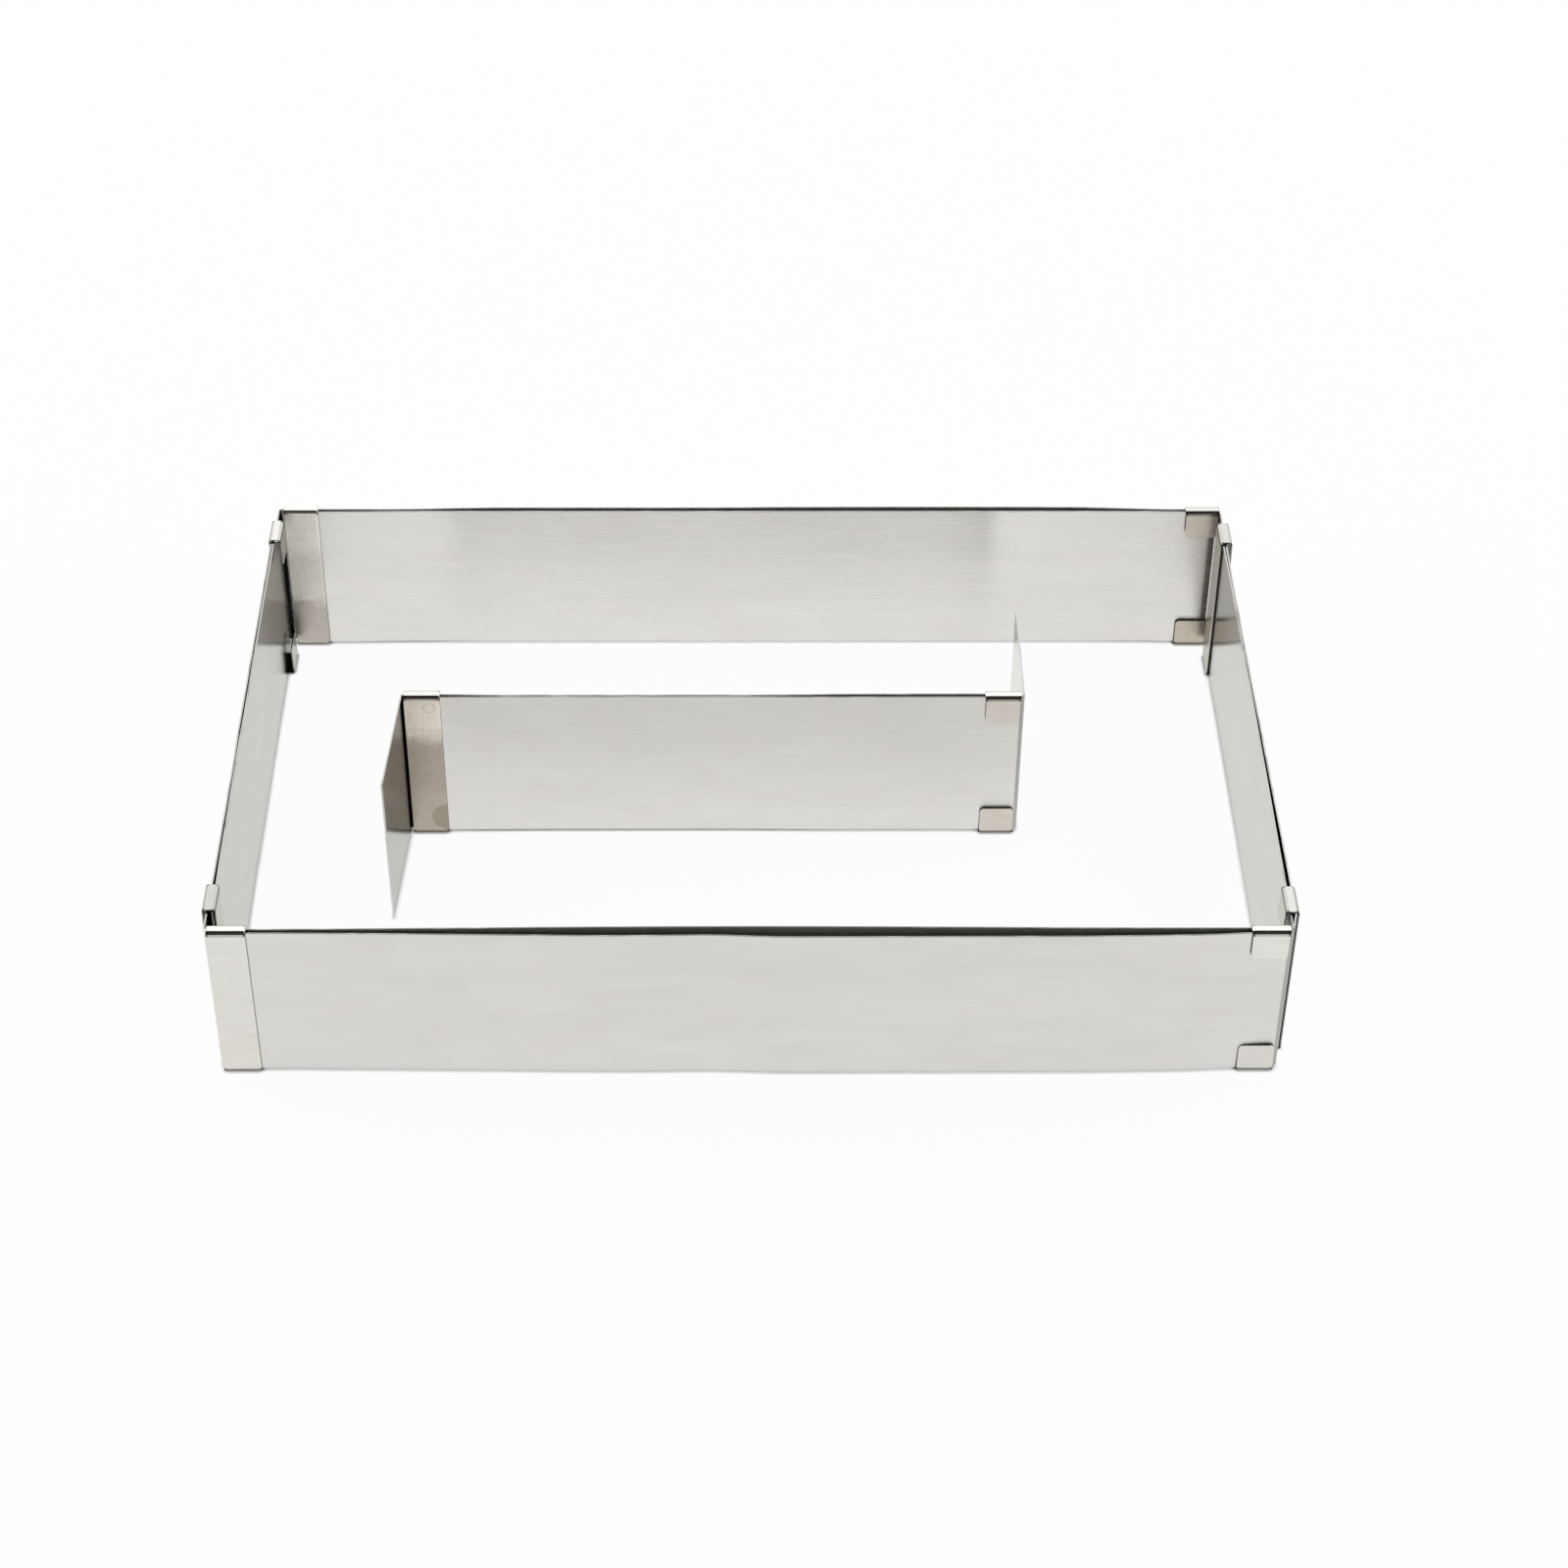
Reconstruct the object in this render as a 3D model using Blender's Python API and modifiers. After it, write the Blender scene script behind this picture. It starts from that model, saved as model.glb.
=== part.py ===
"""Adjustable cake frame in stainless sheet, with a loose divider standing inside it.

Each wall of the frame is two overlapping strips, and each strip is one leg of an L-shaped plate.
Going round, every plate lies outside its neighbour on one wall and inside it on the next.
A folded clip on the free end of each leg wraps the strip beside it, so the plates slide past each
other and the frame grows in length and in width. The divider is two smaller plates joined the same way.

Metres, +Z up. The origin is on the table, under the middle of the frame.
"""

import math

import bmesh
import bpy

# The frame as it stands, across the outer faces of its outer strips
FRAME_LENGTH = 0.290
FRAME_WIDTH = 0.191
# How much further the frame could be pushed together from here, across its width
WIDTH_SPARE = 0.004

# The plates
PLATE_HEIGHT = 0.050
PLATE_SHEET = 0.0005
CORNER_RADIUS = 0.0008
# Between the two strips of a wall, and the room that a strip has to spring away from the other one
STRIP_GAP = 0.0009
SPRING_PLAY = 0.0006

# The clips
CLIP_WIDTH = 0.0104
CLIP_SHEET = 0.0004
CLIP_BEND_RADIUS = 0.0005
TAB_HEIGHT = 0.0094
TAB_CORNER_RADIUS = 0.0015
TAB_END_RECESS = 0.0003
TAB_BACK_RECESS = 0.0002

# The divider
DIVIDER_LENGTH = 0.1789
DIVIDER_FLAP = 0.0405
DIVIDER_LEFT_END = -0.1004
DIVIDER_FRONT_FACE = 0.0033
LEFT_FLAP_SPLAY = math.radians(3.5)
RIGHT_FLAP_SPLAY = math.radians(0.3)

# Clearances
WELD_GAP = 0.0003
EDGE_PLAY = 0.0003
SLIDE_PLAY = 0.0003
END_PLAY = 0.0005

# Facets
BEND_STEPS = 8
TAB_CORNER_STEPS = 4

# Worked out from the sizes above
CORNER_OUTER_RADIUS = CORNER_RADIUS + PLATE_SHEET
STRIP_STEP = PLATE_SHEET + STRIP_GAP
STRIP_STACK = STRIP_STEP + PLATE_SHEET
TAB_PLAY = SLIDE_PLAY + SPRING_PLAY
TAB_REACH = STRIP_STACK + TAB_PLAY + CLIP_SHEET
BAND_REACH = WELD_GAP + CLIP_SHEET
PLATE_BOTTOM = CLIP_SHEET + EDGE_PLAY
PLATE_TOP = PLATE_BOTTOM + PLATE_HEIGHT
CLIP_TOP = PLATE_TOP + EDGE_PLAY + CLIP_SHEET
CLIP_OUTER_RADIUS = CLIP_BEND_RADIUS + CLIP_SHEET


def fillet_reach(offset):
    """How far the inside of a corner bend stands in from its wall, at an offset from the other wall."""
    if offset >= CORNER_RADIUS:
        return 0.0
    return CORNER_RADIUS - math.sqrt(CORNER_RADIUS ** 2 - (CORNER_RADIUS - offset) ** 2)


# A long leg stops just short of the inner strip ahead of it, and a short leg stops clear of the band
# of the clip ahead of it
LONG_END = STRIP_STACK + fillet_reach(STRIP_GAP) + END_PLAY
SHORT_END = STRIP_STEP + STRIP_STACK + BAND_REACH + END_PLAY + WIDTH_SPARE
DIVIDER_END = PLATE_SHEET + fillet_reach(STRIP_GAP) + END_PLAY
LONG_LEG = FRAME_LENGTH - LONG_END
SHORT_LEG = FRAME_WIDTH - SHORT_END
DIVIDER_LEG = DIVIDER_LENGTH - DIVIDER_END

LEFT = -FRAME_LENGTH / 2
RIGHT = FRAME_LENGTH / 2
FRONT = -FRAME_WIDTH / 2
BACK = FRAME_WIDTH / 2
DIVIDER_RIGHT_END = DIVIDER_LEFT_END + DIVIDER_LENGTH
DIVIDER_BACK_FACE = DIVIDER_FRONT_FACE + STRIP_STACK

HALF_TURN = math.pi
QUARTER_TURN = math.pi / 2


def plate_path(long_leg, short_leg, splay):
    """The outer face of an L-shaped plate seen from above, from one free end round the bend to the other.

    The corner is at the origin, the long leg runs along +X and the short leg along +Y. A splay leans
    the short leg outwards.
    """
    radius = CORNER_OUTER_RADIUS
    turn = QUARTER_TURN - splay
    path = [(long_leg, 0.0)]
    for step in range(BEND_STEPS + 1):
        angle = turn * step / BEND_STEPS
        path.append((radius - radius * math.sin(angle), radius - radius * math.cos(angle)))
    bend_end = path[-1]
    run = short_leg - radius
    path.append((bend_end[0] - run * math.cos(turn), bend_end[1] + run * math.sin(turn)))
    return path


def sheet_mesh(name, rows):
    """A surface through rows of two points each, made by laying a grid over them."""
    mesh = bpy.data.meshes.new(name)
    grid = bmesh.new()
    last = len(rows) - 1
    bmesh.ops.create_grid(grid, x_segments=last, y_segments=1, size=1)
    for vertex in grid.verts:
        row = rows[round((vertex.co.x + 1) / 2 * last)]
        vertex.co = row[0] if vertex.co.y < 0 else row[1]
    grid.to_mesh(mesh)
    grid.free()
    mesh.shade_smooth()
    mesh.set_sharp_from_angle(angle=math.radians(30))
    return mesh


def plate_mesh(name, long_leg, short_leg, splay=0.0, long_to_left=False):
    """An L-shaped plate as an open surface. A plate whose long leg runs to the left is the mirror image."""
    path = plate_path(long_leg, short_leg, splay)
    if long_to_left:
        path = [(-x, y) for x, y in reversed(path)]
    return sheet_mesh(name, [((x, y, PLATE_BOTTOM), (x, y, PLATE_TOP)) for x, y in path])


def clip_fold():
    """The outer face of a clip's sheet seen from its end, as (y, z) and the distance from the nearer tip.

    It runs from the tip of the top tab over the strips, down the band, under the strips and up to the
    tip of the bottom tab. The face of the clip's own strip is at y = 0.
    """
    radius = CLIP_OUTER_RADIUS
    band = -BAND_REACH
    half = []
    for step in range(TAB_CORNER_STEPS + 1):
        along = TAB_CORNER_RADIUS * (1 - math.cos(QUARTER_TURN * step / TAB_CORNER_STEPS))
        half.append((TAB_REACH, CLIP_TOP - TAB_HEIGHT + along, along))
    tab_run = TAB_HEIGHT - radius
    for step in range(BEND_STEPS + 1):
        angle = QUARTER_TURN * step / BEND_STEPS
        y = TAB_REACH - radius + radius * math.cos(angle)
        z = CLIP_TOP - radius + radius * math.sin(angle)
        half.append((y, z, tab_run + radius * angle))
    band_run = tab_run + radius * QUARTER_TURN + TAB_REACH - band - 2 * radius
    for step in range(BEND_STEPS + 1):
        angle = QUARTER_TURN * step / BEND_STEPS
        y = band + radius - radius * math.sin(angle)
        z = CLIP_TOP - radius + radius * math.cos(angle)
        half.append((y, z, band_run + radius * angle))
    return half + [(y, CLIP_TOP - z, along) for y, z, along in reversed(half)]


def side_recess(along, recess):
    """How far the side of a clip's blank stands in at a distance from its tip: round at the corner, full
    width again where the tab has turned into the lip."""
    tab_run = TAB_HEIGHT - CLIP_OUTER_RADIUS
    bend_run = CLIP_OUTER_RADIUS * QUARTER_TURN
    inset = recess * min(1, max(0, (tab_run + bend_run - along) / bend_run))
    if along < TAB_CORNER_RADIUS:
        rest = TAB_CORNER_RADIUS - along
        inset += TAB_CORNER_RADIUS - math.sqrt(TAB_CORNER_RADIUS ** 2 - rest ** 2)
    return inset


def clip_mesh(name):
    """A clip folded from a flat blank, as an open surface. The free end of its strip is at x = 0."""
    rows = []
    for y, z, along in clip_fold():
        free_side = side_recess(along, TAB_END_RECESS)
        back_side = CLIP_WIDTH - side_recess(along, TAB_BACK_RECESS)
        rows.append(((free_side, y, z), (back_side, y, z)))
    return sheet_mesh(name, rows)


def steel(name, color, roughness):
    """A bare steel material."""
    material = bpy.data.materials.new(name)
    material.use_nodes = True
    shader = material.node_tree.nodes["Principled BSDF"]
    shader.inputs["Base Color"].default_value = (*color, 1)
    shader.inputs["Metallic"].default_value = 1
    shader.inputs["Roughness"].default_value = roughness
    material.diffuse_color = (*color, 1)
    return material


def body(name, place, parent=None):
    """An empty that carries the pieces that move together, standing on its joint's axis."""
    empty = bpy.data.objects.new(name, None)
    empty["place"] = place
    empty.parent = parent
    base = parent["place"] if parent else (0, 0, 0)
    empty.location = [here - there for here, there in zip(place, base)]
    pieces.objects.link(empty)
    return empty


def sheet_piece(name, mesh, carrier, place, turn, thickness, side):
    """One piece of sheet metal on the body that carries it, at a place in the frame and turned about Z."""
    piece = bpy.data.objects.new(name, mesh)
    piece.parent = carrier
    piece.location = [here - there for here, there in zip(place, carrier["place"])]
    piece.rotation_euler.z = turn
    pieces.objects.link(piece)
    solidify = piece.modifiers.new("sheet", "SOLIDIFY")
    solidify.thickness = thickness
    solidify.offset = side
    solidify.use_even_offset = True
    return piece


def plate(name, mesh, carrier, corner, turn=0.0):
    """A plate with its bend at a corner of the plan."""
    return sheet_piece(name, mesh, carrier, (*corner, 0), turn, PLATE_SHEET, 1)


def clip(name, carrier, free_end, turn):
    """A clip at the free end of a strip. Its X runs back along the strip, and its Y to the other strip."""
    return sheet_piece(name, clip_blank, carrier, (*free_end, 0), turn, CLIP_SHEET, -1)


for old in list(bpy.data.objects):
    bpy.data.objects.remove(old)
pieces = bpy.data.collections.new("adjustable_cake_frame")
bpy.context.scene.collection.children.link(pieces)

plate_steel = steel("plate_steel", (0.66, 0.65, 0.63), 0.32)
clip_steel = steel("clip_steel", (0.70, 0.69, 0.66), 0.38)

# The front left plate lies inside on the front wall and outside on the left wall
inner_long = plate_mesh("inner_long_plate", LONG_LEG, SHORT_LEG)
# The front right plate is its mirror image, outside on the front wall and inside on the right wall
outer_long = plate_mesh("outer_long_plate", LONG_LEG, SHORT_LEG, long_to_left=True)
# The divider's two plates lie face to face, each outside its own bend
divider_left = plate_mesh("divider_left_plate", DIVIDER_LEG, DIVIDER_FLAP, LEFT_FLAP_SPLAY,
                          long_to_left=True)
divider_right = plate_mesh("divider_right_plate", DIVIDER_LEG, DIVIDER_FLAP, RIGHT_FLAP_SPLAY,
                           long_to_left=True)
clip_blank = clip_mesh("clip")
for mesh in (inner_long, outer_long, divider_left, divider_right):
    mesh.materials.append(plate_steel)
clip_blank.materials.append(clip_steel)

# Corners of the four plates, each on the outer faces of its own two strips
FRONT_LEFT = (LEFT, FRONT + STRIP_STEP)
FRONT_RIGHT = (RIGHT - STRIP_STEP, FRONT)
BACK_RIGHT = (RIGHT, BACK - STRIP_STEP)
BACK_LEFT = (LEFT + STRIP_STEP, BACK)
DIVIDER_LEFT = (DIVIDER_LEFT_END, DIVIDER_BACK_FACE)
DIVIDER_RIGHT = (DIVIDER_RIGHT_END, DIVIDER_FRONT_FACE)

# The front left plate stays put, and everything else moves from it
front_left_body = body("front_left_body", (*FRONT_LEFT, 0))
front_right_body = body("front_right_body", (*FRONT_RIGHT, 0), front_left_body)
back_left_body = body("back_left_body", (*BACK_LEFT, 0), front_left_body)
back_right_body = body("back_right_body", (*BACK_RIGHT, 0), front_right_body)
divider_left_body = body("divider_left_body", (*DIVIDER_LEFT, 0), front_left_body)
divider_right_body = body("divider_right_body", (*DIVIDER_RIGHT, 0), divider_left_body)

plate("front_left_plate", inner_long, front_left_body, FRONT_LEFT)
plate("front_right_plate", outer_long, front_right_body, FRONT_RIGHT)
plate("back_right_plate", inner_long, back_right_body, BACK_RIGHT, HALF_TURN)
plate("back_left_plate", outer_long, back_left_body, BACK_LEFT, HALF_TURN)
plate("divider_left_plate", divider_left, divider_left_body, DIVIDER_LEFT, HALF_TURN)
plate("divider_right_plate", divider_right, divider_right_body, DIVIDER_RIGHT)

# Where the free end of each leg lies. An outer strip's band lies on the outer face of the wall,
# and an inner strip's band on the inner face.
INNER_FACE = STRIP_STACK
clip("front_wall_right_clip", front_left_body,
     (FRONT_LEFT[0] + LONG_LEG, FRONT + INNER_FACE), HALF_TURN)
clip("left_wall_back_clip", front_left_body,
     (LEFT, FRONT_LEFT[1] + SHORT_LEG), -QUARTER_TURN)
clip("front_wall_left_clip", front_right_body,
     (FRONT_RIGHT[0] - LONG_LEG, FRONT), 0.0)
clip("right_wall_back_clip", front_right_body,
     (RIGHT - INNER_FACE, FRONT_RIGHT[1] + SHORT_LEG), -QUARTER_TURN)
clip("back_wall_left_clip", back_right_body,
     (BACK_RIGHT[0] - LONG_LEG, BACK - INNER_FACE), 0.0)
clip("right_wall_front_clip", back_right_body,
     (RIGHT, BACK_RIGHT[1] - SHORT_LEG), QUARTER_TURN)
clip("back_wall_right_clip", back_left_body,
     (BACK_LEFT[0] + LONG_LEG, BACK), HALF_TURN)
clip("left_wall_front_clip", back_left_body,
     (LEFT + INNER_FACE, BACK_LEFT[1] - SHORT_LEG), QUARTER_TURN)
clip("divider_right_clip", divider_left_body,
     (DIVIDER_LEFT[0] + DIVIDER_LEG, DIVIDER_BACK_FACE), HALF_TURN)
clip("divider_left_clip", divider_right_body,
     (DIVIDER_RIGHT[0] - DIVIDER_LEG, DIVIDER_FRONT_FACE), 0.0)
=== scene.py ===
# %% [markdown]
# # An adjustable cake frame in brushed stainless sheet
#
# The frame is four L-shaped plates that slide past each other, held by folded clips, with a loose
# divider of two smaller plates standing inside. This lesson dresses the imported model: each flat
# blank is cut and folded as its maker does it, sprung as it stands in use, and given the finish of
# rolled, brushed steel. Everything is in metres, +Z up, with the origin on the table under the
# middle of the frame.

# %% Load the frame
import math

import bmesh
import bpy
from mathutils import Matrix, Vector


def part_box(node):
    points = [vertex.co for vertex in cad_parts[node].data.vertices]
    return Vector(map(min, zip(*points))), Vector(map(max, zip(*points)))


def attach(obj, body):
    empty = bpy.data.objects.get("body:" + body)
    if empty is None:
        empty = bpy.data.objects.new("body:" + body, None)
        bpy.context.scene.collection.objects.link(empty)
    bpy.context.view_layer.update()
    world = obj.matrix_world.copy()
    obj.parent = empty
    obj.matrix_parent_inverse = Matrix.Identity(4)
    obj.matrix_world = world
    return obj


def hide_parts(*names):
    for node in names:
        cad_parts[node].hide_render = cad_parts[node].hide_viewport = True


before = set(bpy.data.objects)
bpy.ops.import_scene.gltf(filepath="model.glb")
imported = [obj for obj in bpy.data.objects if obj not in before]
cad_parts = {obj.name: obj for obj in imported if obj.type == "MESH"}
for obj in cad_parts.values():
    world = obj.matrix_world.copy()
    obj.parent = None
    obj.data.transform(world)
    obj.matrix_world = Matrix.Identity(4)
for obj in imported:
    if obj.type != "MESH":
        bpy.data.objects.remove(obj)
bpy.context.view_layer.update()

# %% [markdown]
# ## The camera
#
# A photograph fixes its camera by the corners that it shows. Here the wall corners, clips and
# divider of the frame were matched to the picture, which gave a long lens, some 40 degrees above
# the table, turned a degree to the right and rolled half a degree.

# %% Place the camera
CAMERA_PLACE = (-0.003213, -0.752988, 0.661059)
CAMERA_LENS = 77.976
CAMERA_SENSOR = 36.0
CAMERA_PITCH = math.radians(40.358)
CAMERA_YAW = math.radians(0.974)
CAMERA_ROLL = math.radians(0.570)

bpy.ops.object.camera_add(location=CAMERA_PLACE)
camera = bpy.context.object
camera.name = "camera"
yaw = Matrix.Rotation(-CAMERA_YAW, 4, "Z")
pitch = Matrix.Rotation(math.pi / 2 - CAMERA_PITCH, 4, "X")
roll = Matrix.Rotation(CAMERA_ROLL, 4, "Z")
camera.matrix_world = Matrix.Translation(CAMERA_PLACE) @ yaw @ pitch @ roll
camera.data.lens = CAMERA_LENS
camera.data.sensor_width = CAMERA_SENSOR
camera.data.clip_start = 0.01
camera.data.clip_end = 100
bpy.context.scene.camera = camera
print("the camera looks down at", round(math.degrees(CAMERA_PITCH), 1), "degrees")

# %% [markdown]
# ## The studio
#
# Bare steel shows little colour of its own: it shows the room. The picture was taken on a white
# table that runs up into a lit backdrop, in a room that is dark above and behind the camera. So the
# flat walls mirror the white table, the tops of the clips mirror the backdrop, and the rounded
# folds between them catch the dark room, as thin black lines.
#
# The table could be lit until it is white, but the same light would wash out the steel. So its paint
# glows where the camera or a mirror image sees it. Where a sheet's edge stands close above it, the
# glow fades into a painted contact shadow, a hair-thin dark line that ambient occlusion finds. Table
# and backdrop are one round tray with a raised rim. It is lower at the front, so that the dark room
# begins close above the table there.

# %% Helpers for materials
def new_material(name):
    """A material with an empty node tree, and its tree."""
    material = bpy.data.materials.new(name)
    material.use_nodes = True
    material.node_tree.nodes.clear()
    return material, material.node_tree


def node(tree, kind, **settings):
    """A shader node with some of its settings or inputs set by name."""
    made = tree.nodes.new(kind)
    for key, value in settings.items():
        if hasattr(made, key):
            setattr(made, key, value)
        else:
            made.inputs[key.replace("_", " ")].default_value = value
    return made


def feed(tree, socket, value):
    """Links a socket to an input, or sets the input to a plain value."""
    if isinstance(value, bpy.types.NodeSocket):
        tree.links.new(value, socket)
    else:
        socket.default_value = value


def calc(tree, operation, *values, clamp=False):
    """A math node on sockets or numbers, and its result."""
    made = node(tree, "ShaderNodeMath", operation=operation, use_clamp=clamp)
    for socket, value in zip(made.inputs, values):
        feed(tree, socket, value)
    return made.outputs[0]


def spread(tree, value, low, high, to_low, to_high):
    """A value mapped from one range to another, and kept inside it."""
    mapped = node(tree, "ShaderNodeMapRange", clamp=True)
    for label, number in (("From Min", low), ("From Max", high), ("To Min", to_low), ("To Max", to_high)):
        mapped.inputs[label].default_value = number
    tree.links.new(value, mapped.inputs["Value"])
    return mapped.outputs[0]


def show(tree, shader):
    """Gives a shader to the material's surface."""
    output = node(tree, "ShaderNodeOutputMaterial")
    tree.links.new(shader.outputs[0], output.inputs["Surface"])


print("helpers for materials are ready")

# %% White paint that glows where it is seen, with a painted contact shadow
TABLE_WHITE = (0.93, 0.93, 0.935, 1)
TABLE_GLOW = 0.94
CONTACT_SHADOW_GLOW = 0.10
CONTACT_REACH = 0.0013
CONTACT_SHUT, CONTACT_OPEN = 0.58, 0.94

table_white, tree = new_material("table_white")
paint = node(tree, "ShaderNodeBsdfDiffuse", Color=TABLE_WHITE)
glow = node(tree, "ShaderNodeEmission", Color=(1, 1, 1, 1), Strength=1.0)
ray = node(tree, "ShaderNodeLightPath").outputs
seen = calc(tree, "ADD", ray["Is Camera Ray"], ray["Is Glossy Ray"])
seen = calc(tree, "ADD", seen, ray["Is Transmission Ray"], clamp=True)
# Ambient occlusion fades the glow where a sheet's edge is close above: a painted contact shadow.
open_sky = node(tree, "ShaderNodeAmbientOcclusion", Distance=CONTACT_REACH, samples=16)
lit = spread(tree, open_sky.outputs["AO"], CONTACT_SHUT, CONTACT_OPEN, CONTACT_SHADOW_GLOW, TABLE_GLOW)
blend = node(tree, "ShaderNodeMixShader")
feed(tree, blend.inputs[0], calc(tree, "MULTIPLY", seen, lit))
feed(tree, blend.inputs[1], paint.outputs[0])
feed(tree, blend.inputs[2], glow.outputs[0])
show(tree, blend)
print("the table glows at", TABLE_GLOW, "and its contact lines at", CONTACT_SHADOW_GLOW)

# %% The table with its raised rim
TABLE_RADIUS = 3.0
RIM_HEIGHT = 0.95
FRONT_RIM = -0.6 * TABLE_RADIUS
FRONT_RIM_DROP = 0.35

bpy.ops.object.select_all(action="DESELECT")
bpy.ops.mesh.primitive_cylinder_add(vertices=128, radius=TABLE_RADIUS, depth=RIM_HEIGHT,
                                    location=(0, 0, RIM_HEIGHT / 2))
table = bpy.context.object
table.name = "table"
bpy.ops.object.mode_set(mode="EDIT")
shape = bmesh.from_edit_mesh(table.data)
for face in shape.faces:
    face.select_set(face.normal.z > 0.5)
bpy.ops.mesh.delete(type="FACE")
bpy.ops.mesh.select_all(action="DESELECT")
shape = bmesh.from_edit_mesh(table.data)
for point in shape.verts:
    point.select_set(point.co.z > 0 and point.co.y < FRONT_RIM)
shape.select_flush(True)
bmesh.update_edit_mesh(table.data)
bpy.ops.transform.translate(value=(0, 0, -FRONT_RIM_DROP))
bpy.ops.object.mode_set(mode="OBJECT")
bpy.ops.object.shade_smooth_by_angle(angle=math.radians(40))
table.data.materials.append(table_white)
print("the table is", TABLE_RADIUS * 2, "m across")

# %% Soft lamps and a dim room
ROOM_GREY = (0.05, 0.05, 0.052, 1)


def softbox(name, place, size, power):
    """A large soft lamp that looks at the middle of the frame."""
    bpy.ops.object.light_add(type="AREA", location=place)
    lamp = bpy.context.object
    lamp.name = name
    lamp.data.shape = "RECTANGLE"
    lamp.data.size, lamp.data.size_y = size
    lamp.data.energy = power
    lamp.rotation_euler = (-Vector(place)).to_track_quat("-Z", "Y").to_euler()


softbox("backdrop_light", (0.0, 2.0, 1.2), (4.4, 2.0), 36)
softbox("left_softbox", (-1.6, -0.1, 1.3), (2.4, 2.0), 30)
softbox("right_softbox", (1.6, -0.1, 1.3), (2.4, 2.0), 30)

world = bpy.data.worlds.new("dim_room")
bpy.context.scene.world = world
world.use_nodes = True
world.node_tree.nodes["Background"].inputs["Color"].default_value = ROOM_GREY
world.node_tree.nodes["Background"].inputs["Strength"].default_value = 1.0
bpy.context.scene.view_settings.view_transform = "Standard"

# %% [markdown]
# ## Cutting and folding sheet
#
# Every piece of this frame starts as a flat blank, so that is how each is modelled: a plane the size
# of the blank, crease lines cut across it, and the part beyond each crease turned a few degrees at a
# time. The UV map is laid out on the flat blank in metres before the first fold. It tells later which
# side of a crease a point lies on, and it lets the brushing run round the folds as it does in the
# metal.

# %% A flat blank with crease lines
SHEET_MAP = "flat_blank"
QUARTER = math.pi / 2


def flat_blank(name, left, right, bottom, top):
    """A flat sheet in the XZ plane, with a UV map that holds each point's place in metres."""
    bpy.ops.object.select_all(action="DESELECT")
    middle = ((left + right) / 2, 0, (bottom + top) / 2)
    bpy.ops.mesh.primitive_plane_add(size=1, location=middle, rotation=(QUARTER, 0, 0))
    sheet = bpy.context.object
    sheet.name = name
    sheet.scale = (right - left, top - bottom, 1)
    bpy.ops.object.transform_apply(location=True, rotation=True, scale=True)
    layer = sheet.data.uv_layers.active
    layer.name = SHEET_MAP
    for corner, loop in zip(layer.data, sheet.data.loops):
        place = sheet.data.vertices[loop.vertex_index].co
        corner.uv = (place.x, place.z)
    bpy.ops.object.mode_set(mode="EDIT")
    return sheet


def crease(axis, places):
    """Cuts lines across the sheet that is being edited, at places along X (0) or Z (2)."""
    for place in places:
        point, normal = [0, 0, 0], [0, 0, 0]
        point[axis], normal[axis] = place, 1
        bpy.ops.mesh.select_all(action="SELECT")
        bpy.ops.mesh.bisect(plane_co=point, plane_no=normal)


def even_steps(start, stop, step):
    """Places from start to stop, both left out, about one step apart."""
    count = max(1, round(abs(stop - start) / step))
    return [start + (stop - start) * k / count for k in range(1, count)]


def fold_places(start, way, radius, angle, steps):
    """Where the creases of a rounded fold lie on the flat blank, from its start, going one way."""
    chord = 2 * radius * math.sin(angle / steps / 2)
    return [start + way * chord * k for k in range(steps + 1)]


example = fold_places(0, 1, 0.001, QUARTER, 3)
print("creases for a quarter turn of 1 mm radius, in mm:", [round(place * 1000, 2) for place in example])

# %% Folding it
HAIR = 0.00001


def pick(sheet, wanted):
    """Selects the points whose place on the flat blank is wanted."""
    bpy.ops.mesh.select_all(action="DESELECT")
    shape = bmesh.from_edit_mesh(sheet.data)
    layer = shape.loops.layers.uv[SHEET_MAP]
    for point in shape.verts:
        flat = point.link_loops[0][layer].uv
        point.select_set(bool(wanted(flat.x, flat.y)))
    shape.select_flush(True)
    bmesh.update_edit_mesh(sheet.data)


def fold(sheet, axis, angle, places, beyond, centre):
    """Turns what lies beyond each crease, from the last crease to the first.

    beyond tells whether a point of the flat blank lies past a crease, and centre is a point on it.
    The outer two turn by half a step, so that the flat sheet leaves the fold's circle at a tangent.
    """
    steps = len(places) - 1
    for k in reversed(range(steps + 1)):
        pick(sheet, lambda u, v: beyond(u, v, places[k]))
        share = 0.5 if k in (0, steps) else 1.0
        bpy.ops.transform.rotate(value=angle / steps * share, orient_axis=axis, orient_type="GLOBAL",
                                 center_override=centre(places[k]))


print("a point counts as past a crease from", HAIR * 1000, "mm on")

# %% Thickness, cut edges and place
def finish_sheet(sheet, thickness, softness):
    """Gives the folded sheet its thickness, inwards, and takes the sharpness off its cut edges.

    The broad faces decide the shading, so that a narrow cut edge doesn't bend their reflections.
    """
    bpy.ops.object.mode_set(mode="OBJECT")
    solid = sheet.modifiers.new("thickness", "SOLIDIFY")
    solid.thickness = thickness
    solid.offset = -1
    solid.use_even_offset = True
    bpy.ops.object.modifier_apply(modifier=solid.name)
    rounded = sheet.modifiers.new("cut edges", "BEVEL")
    rounded.width = softness
    rounded.segments = 2
    rounded.limit_method = "ANGLE"
    rounded.angle_limit = math.radians(50)
    bpy.ops.object.modifier_apply(modifier=rounded.name)
    bpy.ops.object.shade_smooth_by_angle(angle=math.radians(35))
    broad = sheet.modifiers.new("broad faces", "WEIGHTED_NORMAL")
    broad.keep_sharp = True
    bpy.ops.object.modifier_apply(modifier=broad.name)


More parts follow.
